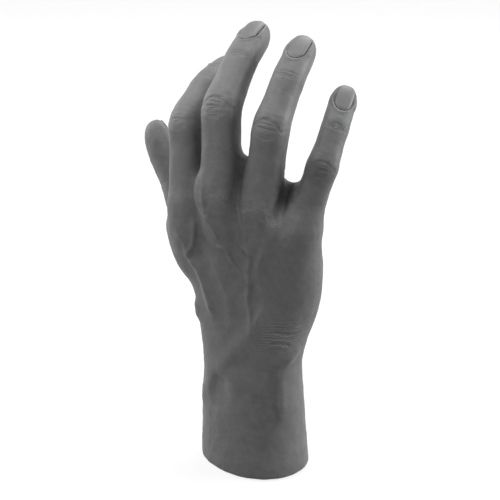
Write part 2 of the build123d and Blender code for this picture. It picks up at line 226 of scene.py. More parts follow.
def fingerField(p, spec, places=None):
    s, x, y = places or fingerPlace(p, spec)
    wide, back, pad = (np.interp(s, spec["fine"], spec["table"][:, k]) for k in range(3))
    high = np.where(y > 0, pad, back)
    n = fingerForm["squareness"]
    q = (np.abs(x / wide) ** n + np.abs(y / high) ** n) ** (1 / n)
    cap = np.clip((s - spec["capStart"]) / (spec["capEnd"] - spec["capStart"]), 0, None)
    start = np.clip((fingerForm["rootAt"] - s) / fingerForm["rootLength"], 0, None)
    n = fingerForm["endRound"]
    q = (q ** n + cap ** n + start ** n) ** (1 / n)
    return (q - 1) * np.minimum(wide, high)


def onFinger(name, s, padward):
    # a point at a run along the finger's first link
    spec = fingers[name]
    return spec["root"] + s * spec["along"] + padward * spec["palmWay"]


# forearm and carpus: height, middle x and y, half width, back, palm side, squareness, turn in degrees
armShape = np.array([
    (-8, 1.7, 0, 31.8, 25.8, 26.0, 2.1, -19), (0, 1.7, 0, 31.6, 25.8, 26.0, 2.1, -19),
    (22, 1.1, 0, 29.8, 24.2, 24.2, 2.1, -12), (44, 0.5, 0, 28.2, 21.6, 22.0, 2.2, -5),
    (62, 0.2, 0, 27.4, 19.4, 20.0, 2.25, 0), (78, -0.2, 0.5, 28.5, 17.8, 19.0, 2.25, 0),
    (95, 0.2, 0.5, 28.8, 15.5, 17.0, 2.2, 0), (115, -1.5, -1.0, 31.0, 13.0, 13.5, 2.2, 0),
    (140, -3.0, -4.0, 24.0, 8.0, 9.0, 2.1, 0), (160, -3.0, -5.0, 8.0, 3.0, 3.0, 2.1, 0),
])
armFine, armTable = easeTable(armShape[:, 0], armShape[:, 1:])

palmForms = {
    "rays": [  # carpus end, knuckle end, radii
        ((-11, -1, 76), (-32.0, -6.5, 143), 10.8, 11.2), ((-4, -2.5, 76), (-13, -9.2, 150), 12.0, 10.8),
        ((6, -2, 76), (8.0, -4.6, 145), 12.0, 9.9), ((15, 1, 76), (26.8, 3.0, 136), 12.0, 10.2),
    ],
    "pads": [  # middle and radii
        ((-3, 1.0, 141), (39, 10.5, 21)), ((21.5, 6.5, 108), (14.2, 14, 31)),
        ((-21.2, 13.5, 92), (14.5, 13.5, 25)),
    ],
    # ball of the thumb up to its root, and the fold beside it, whose start counts from that root
    "thumbBall": {"start": (-12, 9, 80), "radii": (12.5, 11)},
    "thumbFold": {"start": (1, -3, -4), "end": (-35, -2, 126), "radii": (8, 9)},
    "thumbMuscle": [  # between thumb and index: two ends and radii
        ((-24.0, 2.5, 103), (-32.0, 0.5, 114), 8.0, 9.6), ((-32.0, 0.5, 114), (-37.0, -2.0, 131), 9.6, 9.2),
    ],
    "webDepth": 5.0,  # to the pad side
    "webs": [  # two fingers, runs and radius
        ("index", 12, "middle", 7, 5.5), ("middle", 16, "ring", 19, 5.5), ("ring", 11, "little", 13, 5.5),
    ],
    "knuckles": [  # left flank of the middle knuckle: middle and radii
        ((-19.5, -13.3, 155), (7.0, 6.3, 11)),
    ],
    "valleys": [  # hollows on the back between the knuckles: two ends and radii
        ((-25.5, -15.5, 170), (-26.0, -22.5, 140), 8.0, 5.0),
        ((-4.2, -13.0, 174), (-4.6, -20.6, 143), 8.2, 4.4),
        ((17.9, 0.8, 166), (18.5, -12.6, 147), 7.6, 4.0),
    ],
}
# how softly they join; the rays less and less from the carpus to the knuckles, as heights and values
softJoin = {"rays": ((95, 135), (10, 4.5)), "arm": 10, "pads": 9, "thumb": 9, "fold": 10, "webs": 6,
            "valleys": 3, "knuckles": 3, "fingers": 5.5, "foot": 2.0}


def armField(p):
    cx, cy, wide, back, palm, n, turn = (np.interp(p[:, 2], armFine, armTable[:, k]) for k in range(7))
    x, y = p[:, 0] - cx, p[:, 1] - cy
    turn = np.radians(turn)
    x, y = x * np.cos(turn) + y * np.sin(turn), y * np.cos(turn) - x * np.sin(turn)
    high = np.where(y > 0, palm, back)
    q = (np.abs(x / wide) ** n + np.abs(y / high) ** n) ** (1 / n)
    d = (q - 1) * np.minimum(wide, high)
    return np.maximum(d, p[:, 2] - armShape[-1, 0])


def palmField(p):
    d = armField(p)
    rays = None
    for a, b, ra, rb in palmForms["rays"]:
        f = rod(p, a, b, ra, rb)
        rays = f if rays is None else melt(rays, f, np.interp(p[:, 2], *softJoin["rays"]))
    d = melt(d, rays, softJoin["arm"])
    for c, r in palmForms["pads"]:
        d = melt(d, egg(p, c, r), softJoin["pads"])
    thumbRoot = fingers["thumb"]["root"]
    ball, fold = palmForms["thumbBall"], palmForms["thumbFold"]
    d = melt(d, rod(p, ball["start"], thumbRoot, *ball["radii"]), softJoin["thumb"])
    for a, b, ra, rb in palmForms["thumbMuscle"]:
        d = melt(d, rod(p, a, b, ra, rb), softJoin["thumb"])
    d = melt(d, rod(p, thumbRoot + fold["start"], fold["end"], *fold["radii"]), softJoin["fold"])
    for a, sa, b, sb, r in palmForms["webs"]:
        ends = onFinger(a, sa, palmForms["webDepth"]), onFinger(b, sb, palmForms["webDepth"])
        d = melt(d, rod(p, *ends, r, r), softJoin["webs"])
    for a, b, ra, rb in palmForms["valleys"]:
        d = carve(d, rod(p, a, b, ra, rb), softJoin["valleys"])
    for c, r in palmForms["knuckles"]:
        d = melt(d, egg(p, c, r), softJoin["knuckles"])
    return d


def handField(p):
    palm = palmField(p)
    d = palm.copy()
    for name, spec in fingers.items():
        near = ((p > spec["low"]) & (p < spec["high"])).all(1)
        if near.any():
            f = fingerField(p[near], spec)
            d[near] = np.minimum(d[near], melt(palm[near], f, softJoin["fingers"]))
    return d


plateSeat = {"middle": (2.0, 0), "wide": 24.9, "deep": 20.4, "high": 4.3}


def standField(p):
    # the hand with its flat cut and the seat of the base plate
    d = handField(p)
    d = carve(d, p[:, 2], softJoin["foot"])
    x = (p[:, 0] - plateSeat["middle"][0]) / plateSeat["wide"]
    y = (p[:, 1] - plateSeat["middle"][1]) / plateSeat["deep"]
    seat = np.maximum((np.sqrt(x * x + y * y) - 1) * plateSeat["deep"], p[:, 2] - plateSeat["high"])
    return np.maximum(d, -seat)


def evenBlocks(field, p, size=400000):
    return np.concatenate([field(p[i:i + size]) for i in range(0, len(p), size)])


# mesh of the whole skin, settled on the field in a few short steps
skinMesh = {"voxel": 1.25, "low": (-94, -36, -8), "high": (60, 70, 244), "band": 5.0, "settles": 2,
            "longestStep": 0.6, "leastSlope": 0.09, "normalReach": 0.4}
low, high = np.array(skinMesh["low"], float), np.array(skinMesh["high"], float)
count = np.ceil((high - low) / skinMesh["voxel"]).astype(int)
axes = [low[k] + skinMesh["voxel"] * np.arange(count[k]) for k in range(3)]
gridPoints = np.stack(np.meshgrid(*axes, indexing="ij"), -1).reshape(-1, 3)
gridValues = evenBlocks(standField, gridPoints).reshape(count).astype(np.float32)
grid = openvdb.FloatGrid(skinMesh["band"])
grid.copyFromArray(np.clip(gridValues, -skinMesh["band"], skinMesh["band"]))
points, triangles, quads = grid.convertToPolygons(0.0, 0.0)
points = np.asarray(points, float) * skinMesh["voxel"] + low
rough = bpy.data.meshes.new("roughSkin")
rough.from_pydata(points.tolist(), [], [list(q) for q in quads] + [list(t) for t in triangles])
roughBody = bpy.data.objects.new("roughSkin", rough)
bpy.context.collection.objects.link(roughBody)
roughBody.modifiers.new("finer", "SUBSURF").levels = 1
fineMesh = bpy.data.meshes.new_from_object(roughBody.evaluated_get(bpy.context.evaluated_depsgraph_get()))
bpy.data.objects.remove(roughBody)
verts = np.empty(len(fineMesh.vertices) * 3)
fineMesh.vertices.foreach_get("co", verts)
verts = verts.reshape(-1, 3)
faces = np.empty(len(fineMesh.loops), int)
fineMesh.loops.foreach_get("vertex_index", faces)
faces = faces.reshape(-1, 4)
print("skin meshed", len(verts))


def fieldSlope(field, p, h=0.15):
    steps = h * np.eye(3)
    return np.stack([evenBlocks(field, p + e) - evenBlocks(field, p - e) for e in steps], 1) / (2 * h)


def faceAreas():
    corner = verts[faces]
    return np.cross(corner[:, 2] - corner[:, 0], corner[:, 3] - corner[:, 1])


for settle in range(skinMesh["settles"]):
    slope = fieldSlope(standField, verts)
    size = np.maximum((slope ** 2).sum(1), skinMesh["leastSlope"])
    move = (evenBlocks(standField, verts) / size)[:, None] * slope
    length = np.linalg.norm(move, axis=1, keepdims=True)
    verts -= move * np.minimum(1, skinMesh["longestStep"] / np.maximum(length, 1e-9))
if (faceAreas() * verts[faces].mean(1)).sum() < 0:
    faces = faces[:, ::-1].copy()
outward = fieldSlope(standField, verts, skinMesh["normalReach"])
outward /= np.linalg.norm(outward, axis=1, keepdims=True) + 1e-9
fingerAt = {name: fingerPlace(verts, spec) for name, spec in fingers.items()}
fingerGap = {name: fingerField(verts, spec, fingerAt[name]) for name, spec in fingers.items()}
print("skin settled")

# raised lines and hollows on the back of the hand and the forearm: points, height, width
backLines = {
    "knuckleVein": ([(-19.1, -18.7, 162), (-18.2, -21, 157), (-17.6, -21.9, 151),
                     (-17.3, -22.1, 146)], 0.45, 1.3),
    "backVein": ([(-17.5, -22.1, 146), (-13.7, -22.7, 141.7), (-11.1, -22.2, 137.6),
                  (-9.3, -21.3, 133)], 1.1, 1.3),
    "crossVein": ([(-12.5, -20.7, 130), (-8.1, -20.2, 128.4), (-5.3, -19, 126.3), (-2.9, -17.8, 120.7),
                   (0.3, -17.4, 116.6), (3.7, -17.2, 112.6), (6, -17.2, 109)], 1.4, 1.3),
    "middleVein": ([(-1.7, -17.8, 147), (-0.3, -17.2, 137), (1.9, -17, 129.6), (5.9, -17, 125.3),
                    (5.9, -16.9, 117.4), (6.5, -17.1, 109.2), (6.1, -17.4, 100.7), (7.5, -17.8, 90.8),
                    (7.8, -18.4, 82.5)], 1.2, 1.5),
    "shortVein": ([(3.1, -17, 148.6), (3.9, -17.5, 142.3), (4.4, -17.3, 135.2)], 0.7, 1.1),
    "ringTendon": ([(17.4, -14.7, 143.6), (16, -15.2, 135.3), (13.4, -15.8, 126.8), (11.8, -16.1, 118.2),
                    (12.9, -15.9, 109.9), (15.1, -15.6, 101.7), (14.2, -16.2, 94.9), (11.2, -17.2, 90.2),
                    (8.8, -18.2, 83.8)], 1.0, 2.2),
    "valleyVein": ([(-25.6, -18.9, 140.6), (-24.6, -18.8, 134), (-25.8, -18.9, 126.6),
                    (-29.8, -17.2, 119)], 1.1, 1.4),
    "thumbTendon": ([(-29.8, -17.2, 119), (-23.5, -16.8, 113.2), (-20.5, -17.1, 107),
                     (-18.1, -17.3, 100.7), (-15.9, -17.6, 94.2), (-14.7, -18, 88.6)], 2.3, 2.8),
    "sideVein": ([(-35, -19.4, 132), (-33, -19.7, 130.2), (-30.4, -19.5, 126.5),
                  (-29.8, -17.2, 119)], 0.7, 1.8),
    "leftTendon": ([(-17.4, -18, 124.9), (-13.9, -18.3, 118.9), (-10.3, -18.5, 112.2),
                    (-7.5, -18.3, 104.2), (-5.1, -18.4, 96.1), (-2.6, -18.8, 87)], 0.6, 2.6),
    "wristBand": ([(15.8, -15.8, 94.5), (11.4, -17.4, 86.8), (5.7, -19, 78.3), (-0.5, -19.6, 70.3),
                   (-8, -19, 62.1), (-13.8, -18.2, 54)], 1.0, 4.6),
    "armRidge": ([(-2.7, -20, 56.5), (-0.4, -21.2, 47.5), (1.4, -22.4, 37.8)], 0.6, 4.5),
    "ulnaRidge": ([(29.5, -6, 70), (28.4, -10, 66), (26.6, -14, 59), (26.4, -15, 49),
                   (26.5, -15.5, 36)], 2.4, 2.6),
    "ulnaHollow": ([(21.5, -16, 62), (21.5, -17, 46), (21.5, -17.5, 33)], -1.0, 4.5),
    "wristHollow": ([(-12, -18.6, 50), (-13.5, -19, 42)], -1.5, 6.0),
    "armHollow": ([(13, -19.5, 48), (15.8, -20.3, 34), (18.4, -20.7, 20)], -0.7, 6.5),
    "valleyPit": ([(-22.8, -18, 128), (-22.6, -18, 123)], -0.4, 4.0),
    "edgeKnob": ([(-27.2, -9, 88.5), (-26.8, -9, 84.5)], 1.9, 3.8),
    "lowerKnob": ([(-24.6, -12.5, 39.5), (-24.6, -12.5, 36)], 0.8, 4.2),
    "knobGap": ([(-25.3, -10, 51), (-25.3, -10.4, 47)], -0.7, 4.5),
    "wristLineA": ([(17.2, -16.2, 83), (21, -14.5, 83.6), (24.6, -12.3, 82.8), (27.5, -9.8, 81.8),
                    (31, -5.9, 83.2)], -0.6, 0.75),
    "wristLineB": ([(19.3, -15.7, 77.3), (23, -13.6, 77.2), (26.3, -10.7, 76.1)], -0.6, 0.75),
    "wristLineC": ([(16.1, -16.3, 85.6), (22.8, -13.5, 85.8), (28.8, -8.9, 84.5)], -0.2, 0.7),
    "wristLineD": ([(17.3, -16.3, 80.1), (22.9, -13.5, 80.1), (27.8, -9.1, 78.7)], -0.25, 0.7),
    "wristLineE": ([(18.4, -16.2, 73.4), (22.2, -14.3, 73.9), (25.2, -12.2, 73.1)], -0.2, 0.7),
    "edgeLineA": ([(27.6, -9.6, 88.6), (31.2, -6, 89.4), (33.4, -2, 90.4)], -0.4, 0.7),
    "edgeLineB": ([(27.8, -9.2, 86.2), (31, -6, 86.8), (33, -2, 87.6)], -0.4, 0.7),
}
# creases of the palm, as x and z
palmCreases = {
    "lifeLine": ([(-41, 131), (-30, 127), (-19, 117), (-11, 103), (-8, 88), (-9, 78)], 0.9, 1.3),
    "headLine": ([(-41, 132), (-27, 130), (-10, 124), (8, 113), (22, 100)], 0.7, 1.2),
    "heartLine": ([(36, 127), (22, 128), (6, 131), (-8, 138), (-17, 147)], 0.8, 1.2),
    "wristCrease": ([(-22, 67), (-8, 65), (8, 65), (22, 67)], 0.6, 1.0),
    "lowerCrease": ([(-21, 60), (-6, 58), (10, 58), (21, 60)], 0.4, 0.9),
}


def pathGap(p, path):
    # distance to a bent line and share of the way along it
    path = np.asarray(path, float)
    step = np.linalg.norm(np.diff(path, axis=0), axis=1)
    run = np.concatenate([[0], np.cumsum(step)])
    best, share = np.full(len(p), veryFar), np.zeros(len(p))
    for i in range(len(step)):
        e = path[i + 1] - path[i]
        t = np.clip((p - path[i]) @ e / (e @ e), 0, 1)
        d = ((p - path[i] - t[:, None] * e) ** 2).sum(1)
        near = d < best
        best[near] = d[near]
        share[near] = ((run[i] + t * step[i]) / run[-1])[near]
    return np.sqrt(best), share


def ease(x, a, b):
    t = np.clip((x - a) / (b - a), 0, 1)
    return t * t * (3 - 2 * t)


def ripple(p, size, seed, waves=18, spread=(0.6, 1.4)):
    # soft noise from a few waves in chosen directions
    pick = np.random.default_rng(seed)
    ways = pick.normal(size=(waves, 3))
    ways *= (2 * math.pi / size * pick.uniform(*spread, waves) / np.linalg.norm(ways, axis=1))[:, None]
    start = pick.uniform(0, 2 * math.pi, waves)
    total = np.zeros(len(p))
    for way, at in zip(ways, start):
        total += np.sin(p @ way + at)
    return total / math.sqrt(waves / 2)


def rippleSum(p, parts, start=0):
    return sum((amount * ripple(p, size, seed) for amount, size, seed in parts), start)


# uneven skin, and wobble of the lines to both sides and along the hand: amount, size, seed
unevenSkin = [(0.06, 9, 3), (0.02, 3.5, 4)]
lineWobble = [(0.15, 11, 5), (0.15, 11, 6)]
# on the back of the hand the depth of a point counts less; long lines fade at their ends
lineForm = {"press": 0.3, "pressWithin": 20, "fade": 0.15, "least": 0.35, "most": 0.65}
creaseForm = {"facing": 0.15, "below": 160, "fadeIn": 0.1, "fadeOut": 0.15}
lift = rippleSum(verts, unevenSkin)
sideways, upward = (rippleSum(verts, [part]) for part in lineWobble)
bent = verts + np.stack([sideways, np.zeros(len(verts)), upward], 1)
for path, high, wide in backLines.values():
    path = np.asarray(path, float)
    near = ((verts > path.min(0) - 4 * wide) & (verts < path.max(0) + 4 * wide)).all(1)
    longLine = len(path) > 3
    if longLine:
        path = easeTable(np.arange(len(path)), path, 5 * len(path))[1]
    middle = abs(path[:, 0].mean()) < lineForm["pressWithin"]
    press = (1, lineForm["press"] if middle else 1, 1)
    gap, share = pathGap((verts if wide < 1 else bent)[near] * press, path * press)
    taper = 1
    if longLine:
        fade = lineForm["most"] * ease(share, 0, lineForm["fade"]) * ease(1 - share, 0, lineForm["fade"])
        taper = lineForm["least"] + fade
    lift[near] += high * taper * np.exp(-(gap / wide) ** 2)
for path, deep, wide in palmCreases.values():
    near = (outward[:, 1] > creaseForm["facing"]) & (verts[:, 2] < creaseForm["below"])
    gap, share = pathGap(verts[near][:, [0, 2]], path)
    taper = ease(share, 0, creaseForm["fadeIn"]) * ease(1 - share, 0, creaseForm["fadeOut"])
    lift[near] -= deep * taper * np.exp(-(gap / wide) ** 2)

# puckered skin over the knuckles: middle, radius
puckers = {"middle": ((-12, -21, 154), 10), "ring": ((9, -16, 148), 10)}
puckerWaves = [(0.08, 5, 21), (0.05, 2.8, 22)]  # amount, size, seed
for middle, radius in puckers.values():
    near = np.linalg.norm(verts - middle, axis=1) < 2 * radius
    fade = np.exp(-(np.linalg.norm(verts[near] - middle, axis=1) / radius) ** 2)
    lift[near] += fade * rippleSum(verts[near], puckerWaves)

# folds over the finger hinges: offset from the hinge, bow, depth, width
backFolds = [(-4.6, 0.05, 0.4, 0.5), (-3.2, 0.034, 0.5, 0.45), (-2.0, 0.018, 0.45, 0.42),
             (-0.8, 0.004, 0.65, 0.5), (0.6, -0.014, 0.45, 0.42), (2.4, -0.05, 0.45, 0.5)]
endFolds = [(-1.9, 0.01, 0.32, 0.45), (-0.6, 0.0, 0.4, 0.45), (0.8, -0.01, 0.32, 0.45)]
padFolds = [(-0.9, 0.0, 0.55, 0.7), (1.0, 0.0, 0.45, 0.6)]
foldForm = {"face": (1.0, 4.0), "within": 9, "wobble": [(0.16, 5, 8)]}
onSkin = 1.5  # a point this near to a finger's own field lies on its skin


def addFolds(name, stop, folds, reach, backSide):
    s, x, y = fingerAt[name]
    scale, amount = fingers[name]["wide"], fingers[name].get("folds", 1.0)
    face = ease(-y if backSide else y, *foldForm["face"])
    near = (fingerGap[name] < onSkin) & (np.abs(s - stop) < foldForm["within"]) & (face > 0)
    for offset, bow, deep, wide in folds:
        line = stop + scale * offset + bow * x[near] ** 2 + rippleSum(verts[near], foldForm["wobble"])
        side = np.exp(-(np.abs(x[near]) / (reach * scale)) ** 4)
        lift[near] -= deep * amount * face[near] * side * np.exp(-((s[near] - line) / wide) ** 2)


for name, spec in fingers.items():
    stops = spec["stops"]
    if len(stops) == 4:
        addFolds(name, stops[1], backFolds, reach=7.0, backSide=True)
        addFolds(name, stops[1], padFolds, reach=9.0, backSide=False)
    addFolds(name, stops[-2], endFolds if len(stops) == 4 else backFolds, reach=6.0, backSide=True)
    addFolds(name, stops[-2], padFolds[:1], reach=8.0, backSide=False)
    if len(stops) == 4:
        addFolds(name, 0.5 * stops[1], padFolds[:1], reach=9.0, backSide=False)

# nails: plate size against the last link and the half width
nailShape = {"from": 0.365, "to": 0.96, "baseBow": 3.2, "basePower": 2.6, "endBow": 2.6, "endPower": 3,
             "thick": 0.55}
# bed under the plate and the fold of skin round it; the pairs say where each side begins to count
nailBed = {"deep": 1.0, "flank": (-1.4, -0.1), "base": (-0.9, -0.1), "front": (-0.6, 0.4), "below": 0.5,
           "before": 6, "widest": 1.3}
nailFold = {"high": 0.4, "out": 1.9, "wide": 0.8, "front": (-1.5, 4.0)}


def nailPlace(spec):
    a, b = spec["stops"][-2:]
    start, end = a + nailShape["from"] * (b - a), a + nailShape["to"] * (b - a)
    wide = spec["nail"] * np.interp(0.5 * (start + end), spec["fine"], spec["table"][:, 0])
    return start, end, wide


def baseCurve(u):
    return nailShape["baseBow"] * np.abs(u) ** nailShape["basePower"]


def frontCurve(u):
    return nailShape["endBow"] * np.abs(u) ** nailShape["endPower"]


for name, spec in fingers.items():
    s, x, y = fingerAt[name]
    start, end, wide = nailPlace(spec)
    near = (y < -nailBed["below"]) & (s > start - nailBed["before"]) & (fingerGap[name] < onSkin)
    u = np.clip(x[near] / wide, -nailBed["widest"], nailBed["widest"])
    flank = wide - np.abs(x[near])
    base = s[near] - start - baseCurve(u)
    front = end - frontCurve(u) - s[near]
    bed = ease(flank, *nailBed["flank"]) * ease(base, *nailBed["base"]) * ease(front, *nailBed["front"])
    lift[near] -= nailBed["deep"] * bed
    outside = np.minimum(flank, base) + nailFold["out"]
    fold = nailFold["high"] * np.exp(-(outside / nailFold["wide"]) ** 2)
    lift[near] += fold * ease(front, *nailFold["front"])

verts += outward * lift[:, None]
verts[:, 2] = np.maximum(verts[:, 2], 0)  # stands flat
print("skin sculpted")

# paler and darker patches, two of them painted shade: middle, radius, amount; and rougher places: middle,
# radius
patches = {
    "dustyWeb": ((23.3, -10.4, 144.8), 8.5, 0.4), "littleKnuckle": ((37.9, -1.5, 171.5), 6.5, -0.26),
    "littleEnd": ((40.9, 12.5, 191.5), 4.5, -0.18), "ringEnd": ((16.0, 8.5, 213), 6.5, -0.2),
    "ringUpper": ((18.0, 2.0, 205), 5.0, -0.10), "middleRoot": ((-11, -21, 152), 9.0, -0.08),
    # backPlane is painted shade over the side of the back towards the little finger
    "ringRoot": ((10, -17, 146), 9.0, -0.06), "backPlane": ((25, -10, 115), 22.0, -0.10),
    # webPocket is painted shade in the pocket of the web between ring and little finger
    "middleEnd": ((-14, 19, 222), 6, -0.06), "webPocket": ((19.3, -2.5, 157), 7.5, -0.38),
}
roughPlaces = {
    "middleRoot": ((-6, -19, 154), 7.0), "ringRoot": ((10, -16, 148), 10.0), "wrist": ((20, -15, 80), 10.0),
    "web": ((20, -12, 147), 8.0),
}
wristWrinkles = {"middle": (22, -13, 82), "radii": (14, 10, 10)}
toneWaves = [(0.025, 14, 11), (0.02, 5, 12)]  # amount, size, seed
patchWobble = [(0.12, 5, 13)]
grainAmounts = {"skin": 0.25, "places": 0.9, "joints": 0.3, "jointWidth": 5, "jointSkin": 2}
# painted light on the upper fingers: amount and heights
paintedTopLight = {"amount": 0.09, "heights": (165, 205)}
# painted shade in the folds and hollows and between the fingers: amounts, depths and gaps where it begins,
# reach, runs, and the darkest tone
paintedShade = {"folds": 0.22, "foldDepths": (0.25, 0.9), "between": 0.36, "webFloor": 0.3, "floorGaps": (0.2, 2.0),
        "reach": 5.5, "runs": (-4, 10), "darkest": 0.2}
# tone: the skin's uneven grey, to which painted light and painted shade are added below
tone = rippleSum(verts, toneWaves, 1)
grain = np.full(len(verts), grainAmounts["skin"])
unevenEdge = rippleSum(verts, patchWobble, 1)
for middle, radius, amount in patches.values():
    gap = np.linalg.norm(verts - middle, axis=1) * unevenEdge
    tone += amount * np.exp(-(gap / radius) ** 4)
for middle, radius in roughPlaces.values():
    gap = np.linalg.norm(verts - middle, axis=1)
    grain += grainAmounts["places"] * np.exp(-(gap / radius) ** 2)
far = ((verts - wristWrinkles["middle"]) / wristWrinkles["radii"]) ** 2
wrinkle = np.exp(-far.sum(1) ** 2)
for name, spec in fingers.items():
    s, x, y = fingerAt[name]
    close = (fingerGap[name] < grainAmounts["jointSkin"]) & (y < 0)
    for stop in spec["stops"][1:-1]:
        gap = (s[close] - stop) / grainAmounts["jointWidth"]
        grain[close] += grainAmounts["joints"] * np.exp(-gap ** 2)
# painted light, paler towards the tips as if lit from above
tone += paintedTopLight["amount"] * ease(verts[:, 2], *paintedTopLight["heights"])  # paler towards the tips
# painted shade in the folds, creases and hollows, darker where the skin is pressed in deeper
tone -= paintedShade["folds"] * ease(-lift, *paintedShade["foldDepths"])
longFingers = [name for name in fingers if name != "thumb"]
gaps = np.array([fingerGap[name] for name in longFingers])
order = np.argsort(gaps, axis=0)
firstGap, secondGap = np.take_along_axis(gaps, order, 0)[:2]
nearRun = np.take_along_axis(np.array([fingerAt[name][0] for name in longFingers]), order, 0)[0]
# painted shade between the fingers, down to the knuckles and most on the floor of the webs
between = np.exp(-(np.maximum(secondGap, 0) / paintedShade["reach"]) ** 2) * ease(nearRun, *paintedShade["runs"])
tone -= (paintedShade["between"] + paintedShade["webFloor"] * ease(firstGap, *paintedShade["floorGaps"])) * between
tone = np.maximum(tone, paintedShade["darkest"])

# cut into the palm and the links of each finger, along mesh edges: slant, where the skin leaves the palm,
# next cut, reach of the bend before and after the two outer hinges
cuts = {
    "index": {"slant": 18, "leave": 18.0, "next": 31.0, "bend": (6.0, 8.5), "endBend": (7.0, 7.5)},
    "middle": {"slant": 18, "leave": 22.0, "next": 36.0, "bend": (6.5, 8.5), "endBend": (7.5, 7.5)},
    "ring": {"slant": 18, "leave": 24.5, "next": 34.5, "bend": (5.5, 8.5), "endBend": (7.5, 7.5)},
    "little": {"slant": 15, "leave": 17.0, "next": 25.5, "bend": (4.5, 6.5), "endBend": (6.0, 6.5)},
    "thumb": {"slant": 0, "leave": 11.0, "next": 26.5, "endBend": (8.0, 8.0)},
}
# a finger's faces lie within reach of its field, and its bend keeps a margin from the cuts
cutForm = {"reach": 3, "nextFrom": 8, "endCut": 0.5, "rampMargin": 0.9}
centre = verts[faces].mean(1)
label = np.full(len(faces), "palm", dtype=object)
fieldOf = {name: fingerField(centre, spec) for name, spec in fingers.items()}
nearest = np.array(list(fieldOf))[np.argmin(np.array(list(fieldOf.values())), 0)]
for name, spec in fingers.items():
    cut = cuts[name]
    s, x, y = fingerPlace(centre, spec)
    run = s - math.tan(math.radians(cut["slant"])) * y
    mine = (nearest == name) & (fieldOf[name] < cutForm["reach"]) & (run > cut["leave"])
    label[mine] = name + "Root"
    beyond = mine & (run > cut["next"])
    label[beyond & (s > cut["next"] - cutForm["nextFrom"])] = name + "End"
    if "bend" in cut:
        a, b = spec["stops"][1:3]
        label[beyond & (s < a + cutForm["endCut"] * (b - a))] = name + "Middle"

skinLook = {
    "grey": (0.118, 0.119, 0.12, 1), "roughness": 0.56, "gloss": 0.3, "bump": 0.5, "depth": 0.0005,
    "speckScale": 0.8, "speckDetail": 4.0, "speckSpan": 0.2, "speckLow": 0.9,
    "cellScale": 0.62, "cellWidth": 0.25, "cellHeight": 1.6, "poreScale": 1.3, "poreDetail": 3.0,
    "lineScale": 0.2, "lineBend": 5.0, "lineDetail": 2.0, "lineDetailScale": 0.4,
}
skin = bpy.data.materials.new("greySkin")
skin.use_nodes = True
nodes, links = skin.node_tree.nodes, skin.node_tree.links
shade = nodes["Principled BSDF"]
shade.inputs["Specular IOR Level"].default_value = skinLook["gloss"]


def readPaint(name):
    node = nodes.new("ShaderNodeAttribute")
    node.attribute_name = name
    return node


def work(kind, *values):
    node = nodes.new("ShaderNodeMath")
    node.operation = kind
    for k, value in enumerate(values):
        if isinstance(value, float):
            node.inputs[k].default_value = value
        else:
            links.new(value, node.inputs[k])
    return node.outputs[0]


def noiseAt(place, scale, detail):
    node = nodes.new("ShaderNodeTexNoise")
    node.inputs["Scale"].default_value = scale
    node.inputs["Detail"].default_value = detail
    links.new(place, node.inputs["Vector"])
    return node.outputs["Fac"]


place = readPaint("restPlace").outputs["Vector"]
# grey, a little uneven, and with the painted light and painted shade that the tone carries
speck = noiseAt(place, skinLook["speckScale"], skinLook["speckDetail"])
speck = work("MULTIPLY_ADD", speck, skinLook["speckSpan"], skinLook["speckLow"])
shadeOf = work("MULTIPLY", readPaint("tone").outputs["Fac"], speck)
# skin painted darker, as in the hollows with painted shade, is duller
dullness = work("MULTIPLY_ADD", shadeOf, skinLook["roughness"] - 1, 1.0)
links.new(dullness, shade.inputs["Roughness"])
colour = nodes.new("ShaderNodeMix")
colour.data_type = "RGBA"
colour.blend_type = "MULTIPLY"
colour.inputs["Factor"].default_value = 1
colour.inputs["A"].default_value = skinLook["grey"]
mixGrey = nodes.new("ShaderNodeCombineColor")
for channel in ("Red", "Green", "Blue"):
    links.new(shadeOf, mixGrey.inputs[channel])
links.new(mixGrey.outputs["Color"], colour.inputs["B"])
links.new(colour.outputs["Result"], shade.inputs["Base Color"])
# fine grain of the skin
cells = nodes.new("ShaderNodeTexVoronoi")
cells.feature = "DISTANCE_TO_EDGE"
cells.inputs["Scale"].default_value = skinLook["cellScale"]
links.new(place, cells.inputs["Vector"])
edge = work("MINIMUM", cells.outputs["Distance"], skinLook["cellWidth"])
edge = work("MULTIPLY", edge, skinLook["cellHeight"])
height = work("ADD", edge, noiseAt(place, skinLook["poreScale"], skinLook["poreDetail"]))
height = work("MULTIPLY", height, readPaint("grain").outputs["Fac"])
# fine lines round the wrist
lines = nodes.new("ShaderNodeTexWave")
lines.bands_direction = "Z"
lines.inputs["Scale"].default_value = skinLook["lineScale"]
lines.inputs["Distortion"].default_value = skinLook["lineBend"]
lines.inputs["Detail"].default_value = skinLook["lineDetail"]
lines.inputs["Detail Scale"].default_value = skinLook["lineDetailScale"]
links.new(place, lines.inputs["Vector"])
height = work("ADD", height, work("MULTIPLY", lines.outputs["Fac"], readPaint("wrinkle").outputs["Fac"]))
bump = nodes.new("ShaderNodeBump")
bump.inputs["Strength"].default_value = skinLook["bump"]
bump.inputs["Distance"].default_value = skinLook["depth"]
links.new(height, bump.inputs["Height"])
links.new(bump.outputs["Normal"], shade.inputs["Normal"])

# normals of the whole skin, so that the cuts don't show
normals = np.zeros_like(verts)
areas = faceAreas()
for k in range(4):
    np.add.at(normals, faces[:, k], areas)
normals /= np.linalg.norm(normals, axis=1, keepdims=True) + 1e-12


def capLoops(part):
    # open rims of a set of faces, in order
    edges = np.concatenate([part[:, [k, (k + 1) % 4]] for k in range(4)])
    have = set(map(tuple, edges.tolist()))
    follow = {b: a for a, b in have if (b, a) not in have}
    loops = []
    while follow:
        first = next(iter(follow))
        loop, at = [first], follow.pop(first)
        while at != first:
            loop.append(at)
            at = follow.pop(at)
        loops.append(loop)
    return loops


skinPaint = {"tone": tone, "grain": grain, "wrinkle": wrinkle}
capPaint = {"tone": 1.0, "grain": 0.5, "wrinkle": 0.0}  # inside, where a rim is closed


